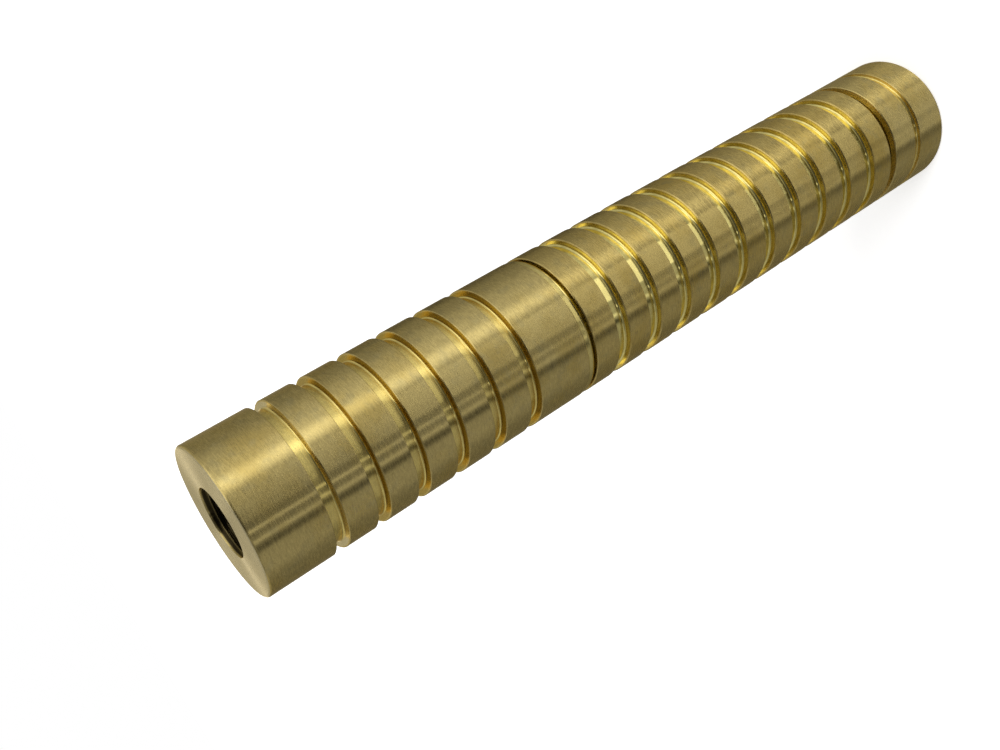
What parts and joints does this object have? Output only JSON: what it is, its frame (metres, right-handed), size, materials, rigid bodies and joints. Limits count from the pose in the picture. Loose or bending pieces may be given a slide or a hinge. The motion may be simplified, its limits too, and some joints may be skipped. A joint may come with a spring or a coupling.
{
  "type": "laser pointer",
  "caption": "Straight round brass laser pointer with grooved barrel, threaded front aperture, screw-off tail cap and recessed push button.",
  "frame": {"origin": "centre of the tail rim, which the pointer stands on", "axes": "+Z along the barrel, from the tail to the front face where the light leaves"},
  "size_m": [0.025, 0.025, 0.155],
  "materials": {
    "turned_brass": "satin, turned",
    "inner_brass": "plain, machined",
    "black_ring": "black anodised",
    "boot_rubber": "matte",
    "seal_rubber": "satin",
    "switch_plastic": "moulded",
    "plunger_plastic": "moulded",
    "contact_metal": "plated",
    "spring_steel": "drawn wire",
    "circuit_board": "lacquered laminate",
    "cell_can": "sleeved can",
    "inductor_body": "moulded",
    "chip_body": "moulded",
    "capacitor_body": "sintered",
    "lead_red": "insulation",
    "lead_black": "insulation",
    "diode_metal": "gold plated",
    "optic_glass": "polished and coated"
  },
  "bodies": {
    "tail": {"tail_cap": "turned_brass", "switch_boot": "boot_rubber", "switch_carrier": "switch_plastic", "switch_retainer": "inner_brass", "switch_board": "circuit_board", "switch_terminals": "contact_metal", "switch_return_spring": "spring_steel", "tail_spring": "spring_steel", "battery_cell": "cell_can"},
    "plunger": {"switch_plunger": "plunger_plastic", "contact_bridge": "contact_metal"},
    "seal": {"tail_o_ring": "seal_rubber"},
    "barrel": {"battery_tube": "turned_brass", "head_o_ring": "seal_rubber", "head_shell": "turned_brass", "driver_housing": "inner_brass", "driver_board": "circuit_board", "positive_spring": "spring_steel", "driver_inductor": "inductor_body", "driver_chip": "chip_body", "driver_capacitors": "capacitor_body", "diode_lead_red": "lead_red", "diode_lead_black": "lead_black", "module_rear": "inner_brass", "module_front": "inner_brass", "laser_diode": "diode_metal", "lens_spring": "spring_steel", "lens_holder": "inner_brass", "collimating_lens": "optic_glass", "front_window": "optic_glass", "window_seal": "seal_rubber", "window_ring": "black_ring"}
  },
  "joints": [
    {"name": "switch_press", "type": "slide", "parent": "tail", "child": "plunger", "axis": [0, 0, 1], "range_m": [0, 0.0012], "stiffness_N_per_m": 2000, "deforming": ["switch_boot", "switch_return_spring"]},
    {"name": "barrel_lift", "type": "slide", "parent": "tail", "child": "seal", "axis": [0, 0, 1], "range_m": [0, 0.005]},
    {"name": "barrel_turn", "type": "hinge", "parent": "seal", "child": "barrel", "pos_m": [0, 0, 0.015], "axis": [0, 0, 1], "range_deg": [0, 1800]}
  ],
  "couplings": [
    {"joint": "barrel_turn", "follows": "barrel_lift", "rad_per_m": 6283.2}
  ]
}
